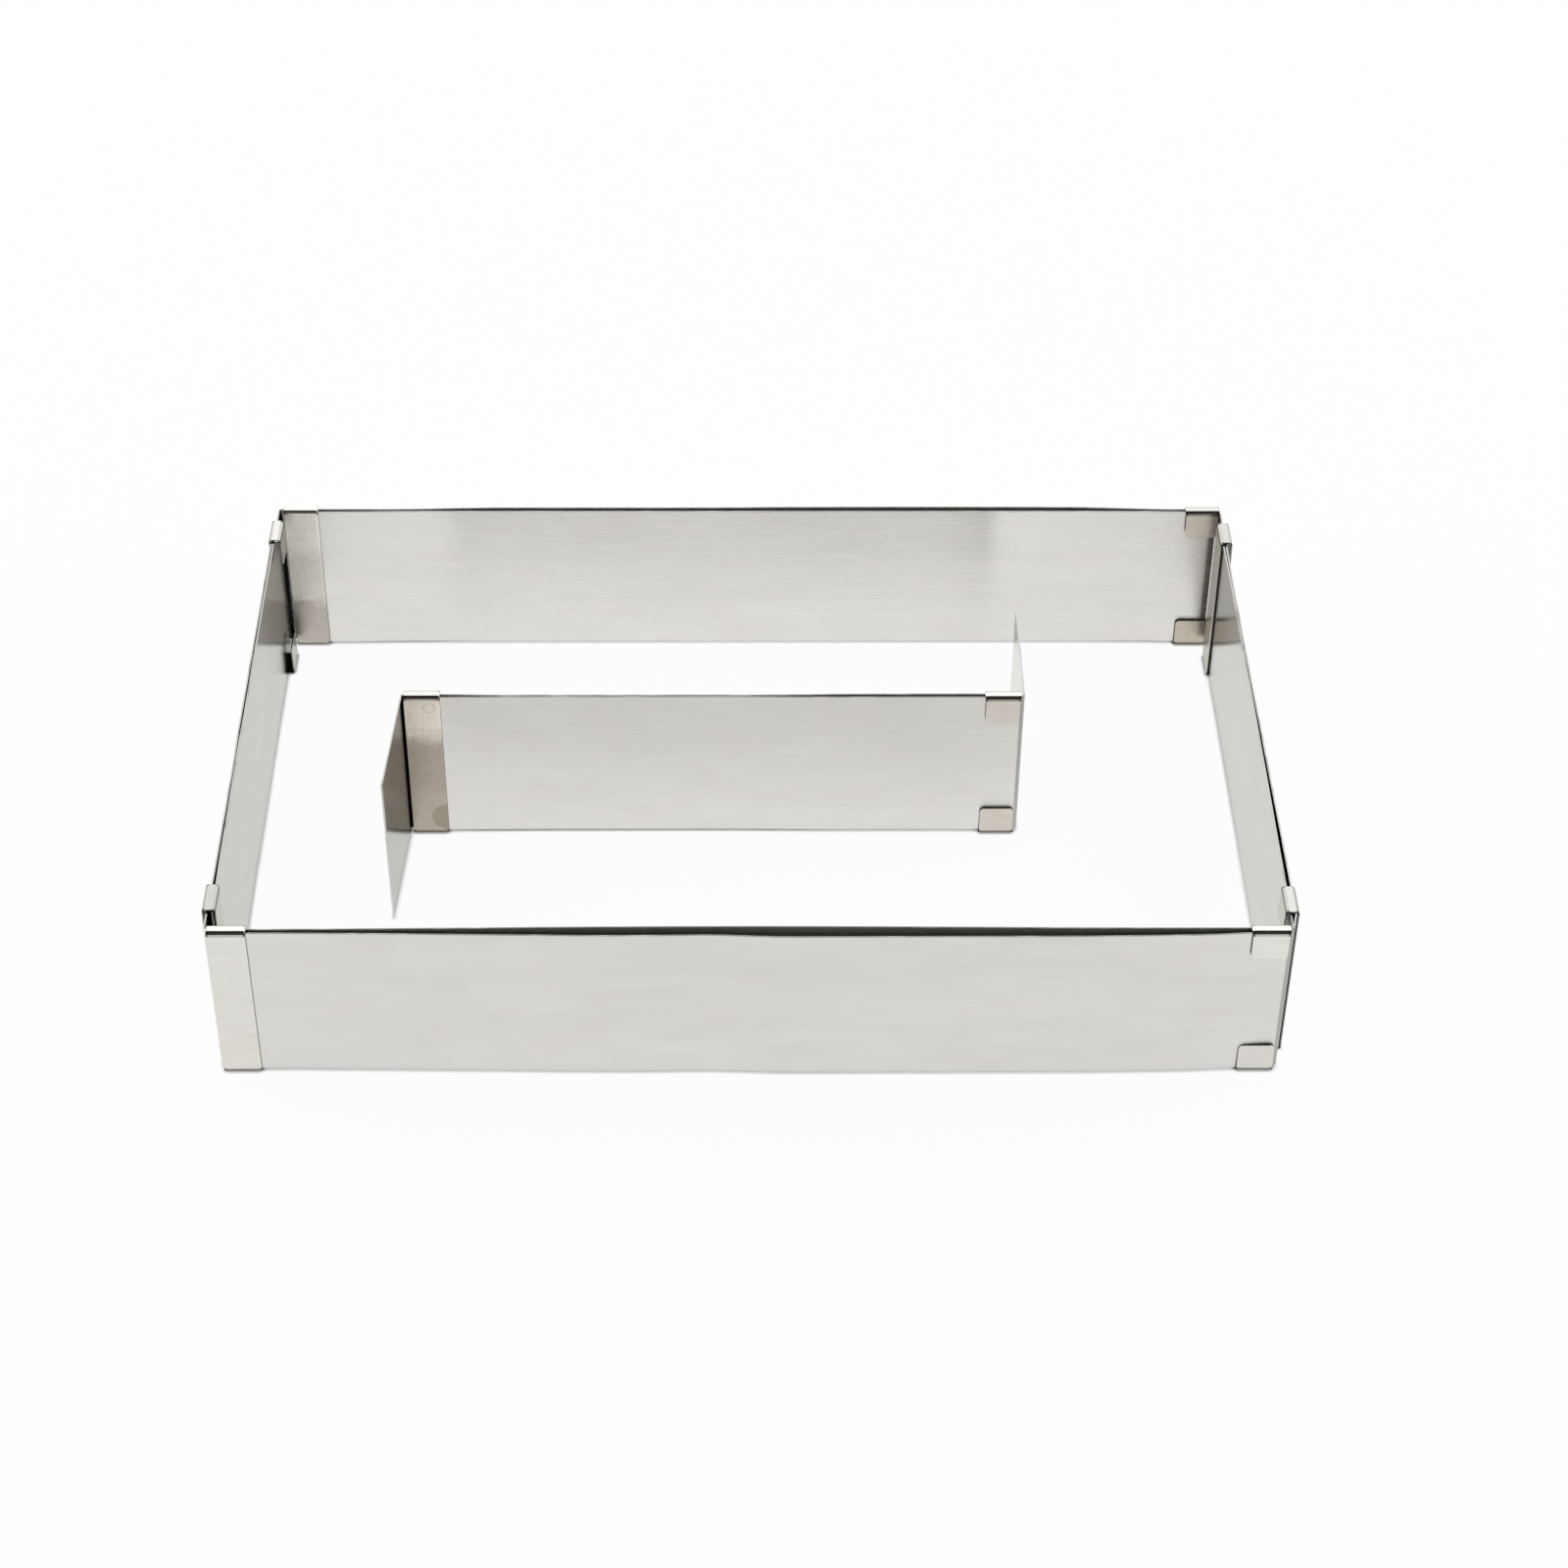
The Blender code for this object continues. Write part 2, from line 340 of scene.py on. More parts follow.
def set_down(sheet, place, turn):
    """Stands a finished sheet at its place in the frame, and keeps that place in its mesh."""
    sheet.rotation_euler = (0, 0, turn)
    sheet.location = (*place, 0)
    bpy.ops.object.select_all(action="DESELECT")
    sheet.select_set(True)
    bpy.context.view_layer.objects.active = sheet
    bpy.ops.object.transform_apply(location=True, rotation=True, scale=True)


print("helpers for sheet are ready")

# %% [markdown]
# ## The plates
#
# Each wall of the frame is two strips, one leg of one plate behind one leg of the next. A leg is up
# to 29 cm of half-millimetre sheet, held only at its ends, so it springs away from its partner in
# the middle, and the dark gap between them widens there. The bow is pulled in the flat blank with
# proportional editing, which leaves both ends straight for the clips, and then the corner is folded.
# Left and right hands are the same blank folded the other way.
#
# Going round the frame, a plate lies outside its neighbour on one wall and inside it on the next, so
# the faces of two strips are one lap apart: a sheet's thickness and the gap between them. The back
# corners of the real frame don't stand quite true, so one is pushed out and the other pulled in.

# %% Sizes of the plates
HALF_LENGTH = 0.145
HALF_WIDTH = 0.0955
PLATE_SHEET = 0.0005
STRIP_GAP = 0.0009
LAP = PLATE_SHEET + STRIP_GAP
PLATE_BOTTOM = 0.0007
PLATE_TOP = 0.0507
LONG_LEG = 0.2876
SHORT_LEG = 0.1825
DIVIDER_LEG = 0.1779
DIVIDER_FLAP = 0.0405
DIVIDER_LEFT, DIVIDER_RIGHT = -0.1004, 0.0785
DIVIDER_FRONT = 0.0033
DIVIDER_BACK = DIVIDER_FRONT + LAP + PLATE_SHEET

# Each plate has its hand, its way (-1 is turned half round), its corner, and its long and short legs.
PLATES = {
    "front_left_plate": (1, 1, (-HALF_LENGTH, LAP - HALF_WIDTH), LONG_LEG, SHORT_LEG),
    "front_right_plate": (-1, 1, (HALF_LENGTH - LAP, -HALF_WIDTH), LONG_LEG, SHORT_LEG),
    "back_right_plate": (1, -1, (HALF_LENGTH, HALF_WIDTH - LAP), LONG_LEG, SHORT_LEG),
    "back_left_plate": (-1, -1, (LAP - HALF_LENGTH, HALF_WIDTH), LONG_LEG, SHORT_LEG),
    "divider_left_plate": (-1, -1, (DIVIDER_LEFT, DIVIDER_BACK), DIVIDER_LEG, DIVIDER_FLAP),
    "divider_right_plate": (-1, 1, (DIVIDER_RIGHT, DIVIDER_FRONT), DIVIDER_LEG, DIVIDER_FLAP),
}
print("a long leg is", round(LONG_LEG * 1000, 1), "mm and a short one", round(SHORT_LEG * 1000, 1))

# %% How a plate is folded
CORNER_RADIUS = 0.0013
CORNER_STEPS = 8
PLATE_SOFTNESS = 0.00009
COLUMN_STEP = 0.005
ROW_STEP = 0.007
MILLIMETRE = 0.001


def pull_bow(sheet, hand, start, stop, shoulder, out):
    """Pulls a stretch of the flat blank outwards by some millimetres, with a smooth shoulder."""
    half_step = COLUMN_STEP / 2
    pick(sheet, lambda u, v: start - half_step < hand * u < stop + half_step)
    bpy.ops.transform.translate(value=(0, -out * MILLIMETRE, 0), use_proportional_edit=True,
                                proportional_edit_falloff="SMOOTH", proportional_size=shoulder)


def folded_plate(name, hand, long_leg, short_leg, splay, springs):
    """An L-shaped plate: hand 1 has its long leg to the right of its bend, and -1 to the left.

    splay opens the bend a little, or closes it where it is negative. springs are bows pulled in the
    flat, as (from, to, shoulder, millimetres outwards), all measured from the bend. A distance along
    the short leg is negative.
    """
    angle = QUARTER - splay
    bend = fold_places(CORNER_RADIUS, -1, CORNER_RADIUS, angle, CORNER_STEPS)
    far_end = bend[-1] - (short_leg - CORNER_RADIUS)
    ends = sorted((hand * far_end, hand * long_leg))
    sheet = flat_blank(name, *ends, PLATE_BOTTOM, PLATE_TOP)
    crease(0, [hand * x for x in bend])
    crease(0, [hand * x for x in even_steps(CORNER_RADIUS, long_leg, COLUMN_STEP)])
    crease(0, [hand * x for x in even_steps(bend[-1], far_end, COLUMN_STEP)])
    crease(2, even_steps(PLATE_BOTTOM, PLATE_TOP, ROW_STEP))
    for spring in springs:
        pull_bow(sheet, hand, *spring)
    fold(sheet, "Z", hand * angle, bend, lambda u, v, place: hand * u < place - HAIR,
         lambda place: (hand * place, 0, 0))
    finish_sheet(sheet, PLATE_SHEET, PLATE_SOFTNESS)
    return sheet


print("the corners are folded in", CORNER_STEPS, "steps")

# %% Fold the six plates
PUSHED_OUT = {"back_left_plate": 0.0008, "back_right_plate": -0.0005}
SPLAYED = {"divider_left_plate": math.radians(3.5), "divider_right_plate": math.radians(0.3)}
SPRINGS = {
    "front_left_plate": [(0.130, 0.140, 0.125, -0.85), (-0.060, -0.027, 0.024, -0.22)],
    "front_right_plate": [(0.028, 0.132, 0.026, 1.12), (0.060, 0.175, 0.055, 0.65),
                          (0.180, 0.215, 0.060, 0.60), (-0.145, -0.105, 0.036, 0.11),
                          (-0.145, -0.065, 0.036, 0.11)],
    "back_right_plate": [(0.030, 0.245, 0.028, 0.40), (-0.075, -0.040, 0.038, -0.12),
                         (-0.115, -0.040, 0.038, -0.12)],
    "back_left_plate": [(0.065, 0.245, 0.032, 0.85), (0.175, 0.225, 0.050, 0.40),
                        (-0.155, -0.115, 0.022, 0.18), (-0.110, -0.045, 0.030, 0.15)],
    "divider_left_plate": [(0.030, 0.100, 0.028, -0.45)],
    "divider_right_plate": [(0.085, 0.145, 0.030, -0.33)],
}

plates = {}
for name, (hand, way, (x, y), long_leg, short_leg) in PLATES.items():
    pushed = PUSHED_OUT.get(name, 0)
    splay = SPLAYED.get(name, 0) - math.atan(pushed / short_leg)
    plate = folded_plate("sprung_" + name, hand, long_leg + pushed, short_leg, splay, SPRINGS[name])
    set_down(plate, (x - way * hand * pushed, y), 0 if way == 1 else math.pi)
    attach(plate, name.replace("plate", "body"))
    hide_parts(name)
    plates[name] = plate
for name, plate in plates.items():
    low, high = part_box(name)
    corners = [plate.matrix_world @ Vector(corner) for corner in plate.bound_box]
    off = max(abs(min(c[k] for c in corners) - low[k]) + abs(max(c[k] for c in corners) - high[k])
              for k in range(3))
    print(plate.name, len(plate.data.polygons), "faces,", round(off * 1000, 2), "mm off its node")

# %% [markdown]
# ## The clips
#
# A clip is a strip of thinner sheet with a tab at each end. Its band is welded up one face of a leg,
# and the tabs are folded over the top and bottom edges and down the other side, so that it holds two
# strips and lets them slide. One blank is cut: narrower at the tabs, with rounded corners. It is
# folded once, and the ten clips are copies of it, each with a mesh of its own.
#
# Two small things make it look like pressed metal. The upper tabs spring open by a degree and the
# lower ones are pressed shut, and the inner side of the band droops a little towards the wall.

# %% Sizes of a clip
CLIP_SHEET = 0.0004
CLIP_SOFTNESS = 0.00007
CLIP_WIDTH = 0.0104
CLIP_TOP = 0.0514
CLIP_RADIUS = 0.0011
CLIP_STEPS = 8
CLIP_ROW_STEP = 0.005
BAND_FACE = -0.0007
TAB_FACE = 0.0032
TAB_HEIGHT = 0.0094
TAB_CORNER = 0.0015
TAB_END_RECESS = 0.0003
TAB_BACK_RECESS = 0.0002
TAB_LIFT = math.radians(1.0)
TAB_PRESS = math.radians(1.6)
TAB_RUN = TAB_HEIGHT - CLIP_RADIUS
ROOF_RUN = TAB_FACE - BAND_FACE - 2 * CLIP_RADIUS - TAB_RUN * math.sin(TAB_LIFT)
SIDE_DROOP = 0.0002
ROLLED_EDGE = 0.0008


def height_from(way, z):
    """A height counted from the bottom when way is 1, and from the top when it is -1."""
    return z if way == 1 else CLIP_TOP - z


band_fold = fold_places(CLIP_TOP - CLIP_RADIUS, 1, CLIP_RADIUS, QUARTER, CLIP_STEPS)
tab_fold = fold_places(band_fold[-1] + ROOF_RUN, 1, CLIP_RADIUS, QUARTER - TAB_LIFT, CLIP_STEPS)
tip = tab_fold[-1] + TAB_RUN
half_blank = tip - CLIP_TOP / 2
roof_end = tab_fold[0] - CLIP_TOP / 2
print("the flat clip is", round(half_blank * 2 * 1000, 1), "mm long")

# %% Cut the blank
pattern = flat_blank("clip_pattern", 0, CLIP_WIDTH, CLIP_TOP - tip, tip)
for way in (1, -1):
    crease(2, [height_from(way, z) for z in band_fold + tab_fold])
crease(2, even_steps(CLIP_TOP - band_fold[0], band_fold[0], CLIP_ROW_STEP))

narrowing = (TAB_END_RECESS + TAB_BACK_RECESS) / CLIP_WIDTH
still_point = TAB_END_RECESS / narrowing
for way in (1, -1):
    for k, place in enumerate(tab_fold):
        near = place - HAIR
        far = tip + HAIR if k == CLIP_STEPS else place + HAIR
        pick(pattern, lambda u, v: near < height_from(way, v) < far)
        bpy.ops.transform.resize(value=(1 - narrowing * k / CLIP_STEPS, 1, 1),
                                 center_override=(still_point, 0, 0))
pick(pattern, lambda u, v: abs(v - CLIP_TOP / 2) > half_blank - HAIR)
bpy.ops.mesh.bevel(affect="VERTICES", offset=TAB_CORNER, segments=6)
crease(0, [CLIP_WIDTH / 2, CLIP_WIDTH - ROLLED_EDGE, CLIP_WIDTH - ROLLED_EDGE / 2])
print("the blank narrows by", round(narrowing * 100, 1), "% at the tabs")

# %% Fold it
for aside, droop in ((0, SIDE_DROOP), (ROLLED_EDGE / 2, SIDE_DROOP / 4)):
    pick(pattern, lambda u, v: abs(CLIP_WIDTH - u - aside) < HAIR and abs(v - CLIP_TOP / 2) < roof_end)
    bpy.ops.transform.translate(value=(0, droop, 0))
for way, tab_angle in ((1, QUARTER - TAB_LIFT), (-1, QUARTER + TAB_PRESS)):
    for places, angle in ((tab_fold, tab_angle), (band_fold, QUARTER)):
        fold(pattern, "X", way * angle, places, lambda u, v, place: height_from(way, v) > place + HAIR,
             lambda place: (0, 0, height_from(way, place)))
bpy.ops.mesh.select_all(action="SELECT")
bpy.ops.transform.translate(value=(0, BAND_FACE, 0))
finish_sheet(pattern, CLIP_SHEET, CLIP_SOFTNESS)
print("the folded clip has", len(pattern.data.polygons), "faces")

# %% Put a copy on the end of each leg
CLIPS = {
    "front_wall_right_clip": ("front_left_plate", "long"),
    "left_wall_back_clip": ("front_left_plate", "short"),
    "front_wall_left_clip": ("front_right_plate", "long"),
    "right_wall_back_clip": ("front_right_plate", "short"),
    "back_wall_left_clip": ("back_right_plate", "long"),
    "right_wall_front_clip": ("back_right_plate", "short"),
    "back_wall_right_clip": ("back_left_plate", "long"),
    "left_wall_front_clip": ("back_left_plate", "short"),
    "divider_right_clip": ("divider_left_plate", "long"),
    "divider_left_clip": ("divider_right_plate", "long"),
}


def free_end(plate, leg):
    """Where a packed plate's leg ends, on the face that its clip is welded to, and the clip's turn."""
    hand, way, (x, y), long_leg, short_leg = PLATES[plate]
    inner_face = (leg == "long") == (hand == 1)
    inwards = PLATE_SHEET if inner_face else 0
    if leg == "long":
        return (x + way * hand * long_leg, y + way * inwards), math.pi if way * hand == 1 else 0
    return (x + way * hand * inwards, y + way * short_leg), -way * QUARTER


clips = {}
for name, (plate, leg) in CLIPS.items():
    bpy.ops.object.select_all(action="DESELECT")
    pattern.select_set(True)
    bpy.context.view_layer.objects.active = pattern
    bpy.ops.object.duplicate()
    clip = bpy.context.object
    clip.name = "folded_" + name
    set_down(clip, *free_end(plate, leg))
    body = plate.replace("plate", "body")
    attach(clip, body)
    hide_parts(name)
    clips[name] = clip
bpy.data.objects.remove(pattern)
print(len(clips), "clips folded over the ends of the legs")

# %% [markdown]
# ## Streaks and marks for the steel
#
# The sheet came from the mill brushed along its length, and hands and welding have left faint marks
# on it since. An image could hold all that, but noise in shader nodes stays sharp at any distance.
# Both steels need it with values of their own, so brushing, hand marks and weld marks are node
# groups, each built once. They read the flat blank's map, so a streak runs on round a fold.

# %% Helpers for node groups
def new_group(name, inputs, outputs):
    """A shader node group with named inputs, as (name, kind, value), and named outputs."""
    group = bpy.data.node_groups.new(name, "ShaderNodeTree")
    for label, kind, value in inputs:
        socket = group.interface.new_socket(label, in_out="INPUT", socket_type="NodeSocket" + kind)
        if value is not None:
            socket.default_value = value
    for label, kind in outputs:
        group.interface.new_socket(label, in_out="OUTPUT", socket_type="NodeSocket" + kind)
    return group, group.nodes.new("NodeGroupInput"), group.nodes.new("NodeGroupOutput")


def use_group(tree, group, **inputs):
    """Places a node group in a tree, with its inputs fed by name."""
    placed = node(tree, "ShaderNodeGroup")
    placed.node_tree = group
    for label, value in inputs.items():
        feed(tree, placed.inputs[label], value)
    return placed


def stretched_noise(tree, place, along, across, seed, detail=2.0):
    """Noise whose spots measure about along by across, in metres on the flat blank."""
    apart = node(tree, "ShaderNodeSeparateXYZ")
    feed(tree, apart.inputs[0], place)
    joined = node(tree, "ShaderNodeCombineXYZ")
    feed(tree, joined.inputs[0], calc(tree, "DIVIDE", apart.outputs[0], along))
    feed(tree, joined.inputs[1], calc(tree, "DIVIDE", apart.outputs[1], across))
    feed(tree, joined.inputs[2], seed)
    noise = node(tree, "ShaderNodeTexNoise", Scale=1.0, Detail=detail, Roughness=0.55)
    tree.links.new(joined.outputs[0], noise.inputs["Vector"])
    return noise.outputs["Fac"]


def centred(tree, noise, clamp=False):
    """Noise that is mostly near 0.5, spread to run from about -1 to 1. Clamping leaves its upper half."""
    return calc(tree, "MULTIPLY_ADD", noise, 4.0, -2.0, clamp=clamp)


print("helpers for node groups are ready")

# %% A group for brushing
WOBBLE_ALONG, WOBBLE_ACROSS = 0.012, 0.006

brushing, given, made = new_group(
    "brushing",
    [("Place", "Vector", None), ("Along", "Float", 0.01), ("Across", "Float", 0.0005),
     ("Waviness", "Float", 0.0), ("Seed", "Float", 0.0)],
    [("Streaks", "Float")])
place, seed = given.outputs["Place"], given.outputs["Seed"]
wobble = stretched_noise(brushing, place, WOBBLE_ALONG, WOBBLE_ACROSS, seed, 0.0)
drift = calc(brushing, "MULTIPLY", calc(brushing, "SUBTRACT", wobble, 0.5), given.outputs["Waviness"])
shift = node(brushing, "ShaderNodeCombineXYZ")
feed(brushing, shift.inputs[0], drift)
feed(brushing, shift.inputs[1], drift)
moved = node(brushing, "ShaderNodeVectorMath", operation="ADD")
feed(brushing, moved.inputs[0], place)
feed(brushing, moved.inputs[1], shift.outputs[0])
scratches = stretched_noise(brushing, moved.outputs[0], given.outputs["Along"], given.outputs["Across"],
                            seed, 3.0)
feed(brushing, made.inputs["Streaks"], centred(brushing, scratches))


def streaks_of(tree, place, seed, along, across, waviness=0.0):
    """Brushing whose scratches measure about along by across, in metres."""
    return use_group(tree, brushing, Place=place, Along=along, Across=across, Waviness=waviness,
                     Seed=seed).outputs["Streaks"]


print("the brushing group has", len(brushing.nodes), "nodes")

# %% A group for hand marks
hand_marks, given, made = new_group(
    "hand_marks",
    [("Place", "Vector", None), ("Size", "Float", 0.02), ("Seed", "Float", 0.0)],
    [("Warm", "Float"), ("Cool", "Float"), ("Shade", "Float")])
place, size, seed = given.outputs["Place"], given.outputs["Size"], given.outputs["Seed"]
for label, offset in (("Warm", 3.0), ("Cool", 11.0)):
    spots = stretched_noise(hand_marks, place, size, calc(hand_marks, "MULTIPLY", size, 0.6),
                            calc(hand_marks, "ADD", seed, offset))
    feed(hand_marks, made.inputs[label], centred(hand_marks, spots, clamp=True))
clouds = stretched_noise(hand_marks, place, calc(hand_marks, "MULTIPLY", size, 3.0), size, seed, 3.0)
feed(hand_marks, made.inputs["Shade"], centred(hand_marks, clouds))
print("the hand marks group has", len(hand_marks.nodes), "nodes")

# %% A group for weld marks
weld_mark, given, made = new_group(
    "weld_mark",
    [("Place", "Vector", None), ("Centre", "Vector", (0.0, 0.0, 0.0)), ("Radius", "Float", 0.002),
     ("Softness", "Float", 0.0005)],
    [("Ring", "Float"), ("Disc", "Float")])
away = node(weld_mark, "ShaderNodeVectorMath", operation="DISTANCE")
feed(weld_mark, away.inputs[0], given.outputs["Place"])
feed(weld_mark, away.inputs[1], given.outputs["Centre"])
inside = calc(weld_mark, "SUBTRACT", given.outputs["Radius"], away.outputs["Value"])
inside = calc(weld_mark, "DIVIDE", inside, given.outputs["Softness"])
feed(weld_mark, made.inputs["Disc"], calc(weld_mark, "ADD", inside, 0.5, clamp=True))
feed(weld_mark, made.inputs["Ring"],
     calc(weld_mark, "SUBTRACT", 1.0, calc(weld_mark, "ABSOLUTE", inside), clamp=True))
print("groups:", [group.name for group in bpy.data.node_groups])

# %% [markdown]
# ## The shader that both steels share
#
# Fine scratches spread a reflection across their own direction only, so the shader is anisotropic.
# Its tangent comes from the flat blank's map, so it follows every fold.
#
# The studio table shone brighter than the white of the picture, and this one can't, so the steel is
# given a lighter colour than real steel has. That would count twice where steel mirrors steel, which
# is dark in the picture, so what a mirrored sheet sends on is taken back to the real steel's share.
# The gap between two strips is nearly black in the picture. Here the glowing table shines into it,
# so ambient occlusion darkens the colour where another sheet is close.

# %% Mixing colours
def blend_colours(tree, share, first, second, kind="MIX"):
    """A colour mix on sockets or plain colours, and its result."""
    made = node(tree, "ShaderNodeMix", data_type="RGBA", blend_type=kind)
    feed(tree, made.inputs[0], share)
    feed(tree, made.inputs[6], first)
    feed(tree, made.inputs[7], second)
    return made.outputs[2]


def tinted(tree, colour, tint):
    """A colour multiplied by a tint."""
    return blend_colours(tree, 1.0, colour, tint, "MULTIPLY")


def stained(tree, colour, mask, strength, stain):
    """A colour that gives way to another by a mask and a strength."""
    return blend_colours(tree, calc(tree, "MULTIPLY", mask, strength), colour, stain)


def grey(tree, level):
    """A grey of a level that changes over the surface."""
    made = node(tree, "ShaderNodeCombineColor")
    for label in ("Red", "Green", "Blue"):
        tree.links.new(level, made.inputs[label])
    return made.outputs[0]


def scaled(tint, level):
    """A plain colour brought to a level."""
    return (*(channel * level for channel in tint), 1)


print("a warm grey at half its level is", scaled((1.0, 0.9, 0.8), 0.5))

# %% A shader for brushed metal
BUMP_DEPTH = 0.0001


def steel_shader(name, anisotropy, turn, edge_tint):
    """A material, its tree and its metal shader, then the place on the flat blank and its two parts."""
    material, tree = new_material(name)
    place = node(tree, "ShaderNodeUVMap", uv_map=SHEET_MAP).outputs[0]
    apart = node(tree, "ShaderNodeSeparateXYZ")
    tree.links.new(place, apart.inputs[0])
    shader = node(tree, "ShaderNodeBsdfPrincipled", Metallic=1.0, Anisotropic=anisotropy,
                  Anisotropic_Rotation=turn)
    shader.inputs["Specular Tint"].default_value = edge_tint
    tangent = node(tree, "ShaderNodeTangent", direction_type="UV_MAP", uv_map=SHEET_MAP)
    tree.links.new(tangent.outputs[0], shader.inputs["Tangent"])
    show(tree, shader)
    return material, tree, shader, place, apart.outputs[0], apart.outputs[1]


def emboss(tree, shader, height, strength):
    """Presses a texture very slightly into the surface."""
    bump = node(tree, "ShaderNodeBump", Strength=strength, Distance=BUMP_DEPTH)
    tree.links.new(height, bump.inputs["Height"])
    tree.links.new(bump.outputs[0], shader.inputs["Normal"])


print("the texture is pressed in by less than", BUMP_DEPTH * 1000, "mm")

# %% Painted shade in the seams and at cut edges, and mirrored sheets
MIRRORED_SHARE = 0.74
SEAM_SHADE_BLACK = 0.02
SEAM_SHUT, SEAM_OPEN = 0.16, 0.32
EDGE_WIDTH = 0.00003


def darkened(tree, level, mask, share):
    """A level brought to a share of itself where a mask is."""
    return calc(tree, "MULTIPLY", level, calc(tree, "MULTIPLY_ADD", mask, share - 1.0, 1.0))


def with_painted_seam_shade(tree, colour, level, reach):
    """A colour at a level, darkened by painted shade where another sheet is close, and where a sheet
    mirrors it.
    """
    # Ambient occlusion paints shade into the colour where another sheet is close.
    sky = node(tree, "ShaderNodeAmbientOcclusion", Distance=reach, samples=8)
    openness = spread(tree, sky.outputs["AO"], SEAM_SHUT, SEAM_OPEN, SEAM_SHADE_BLACK, 1.0)
    mirrored = node(tree, "ShaderNodeLightPath").outputs["Is Glossy Ray"]
    level = darkened(tree, calc(tree, "MULTIPLY", level, openness), mirrored, MIRRORED_SHARE)
    return tinted(tree, colour, grey(tree, level))


def away_from(tree, value, line):
    """How far a place on the flat blank lies from a line."""
    return calc(tree, "ABSOLUTE", calc(tree, "SUBTRACT", value, line))


def sheared_and_shaded_edge(tree, level, away, half, share):
    """A level that drops to a share past the broad face's edge, half a width away: sheared metal, and
    painted shade of the gap beside it.
    """
    edge = spread(tree, away, half - 2 * EDGE_WIDTH, half - EDGE_WIDTH, 1.0, share)
    return calc(tree, "MULTIPLY", level, edge)


print("a mirrored sheet sends on", MIRRORED_SHARE, "of its colour")

# %% [markdown]
# ## The finish of the plates
#
# A plate is brushed in coarse and fine streaks, with broader bands from the rollers and faint marks
# of hands. The shader is turned a quarter, because its scratches run along the sheet. At a low angle
# brushed steel mirrors more sharply, so Layer Weight brings the roughness down there. The bend has
# painted light, a highlight on some plates and shade on others, and the cut edges at the top and
# bottom are darker, as sheared metal with painted shade beside them. Each plate has a material of
# its own, made by one function: its levels square on and at a low angle are painted light, set to
# how brightly its wall is lit, and it differs a little in how clearly it mirrors.

# %% Hand marks and painted light on the bend
HAND_MARK = 0.016
HAND_SHADE = 0.035
PLAIN_STEEL = (1.0, 0.982, 0.938)
WARM_STEEL, WARM_SHARE = (1.01, 0.955, 0.89), 0.45
COOL_STEEL, COOL_SHARE = (0.965, 0.98, 0.98), 0.35
BEND_RUN = CORNER_RADIUS * QUARTER
BEND_LIGHT_INSIDE, BEND_LIGHT_OUTSIDE = 0.0003, 0.0002


def handled_steel(tree, place, seed, painted_light_square_on):
    """Bare steel with warm and cool marks of hands, and the level of their shade."""
    marks = use_group(tree, hand_marks, Place=place, Size=HAND_MARK, Seed=seed).outputs
    colour = stained(tree, scaled(PLAIN_STEEL, painted_light_square_on), marks["Warm"], WARM_SHARE,
                     scaled(WARM_STEEL, painted_light_square_on))
    colour = stained(tree, colour, marks["Cool"], COOL_SHARE, scaled(COOL_STEEL, painted_light_square_on))
    return colour, calc(tree, "MULTIPLY_ADD", marks["Shade"], HAND_SHADE, 1.0)


def painted_light_at_bend(tree, level, along, hand, shade):
    """A level with painted light where the sheet was bent, a highlight above 1 and shade below it."""
    away = away_from(tree, along, hand * (CORNER_RADIUS - BEND_RUN / 2))
    bend_painting = spread(tree, away, BEND_RUN / 2 - BEND_LIGHT_INSIDE, BEND_RUN / 2 + BEND_LIGHT_OUTSIDE, shade, 1.0)
    return calc(tree, "MULTIPLY", level, bend_painting)


print("a bend takes up", round(BEND_RUN * 1000, 1), "mm of the sheet")

# %% The steel of one plate
COARSE_STREAK = (0.025, 0.0011)
FINE_STREAK = (0.009, 0.0004)
ROLLER_BAND = (0.024, 0.0040)
ROLLER_SHADE = 0.02
STREAK_BLUR, STREAK_BUMP = 0.035, 0.15
SQUARE_ON, GRAZING = 0.30, 0.85
GRAZING_BLUR = 0.10
GLANCING_STEEL = (1.0, 1.0, 0.985)
PLATE_EDGE_SHADE = 0.60


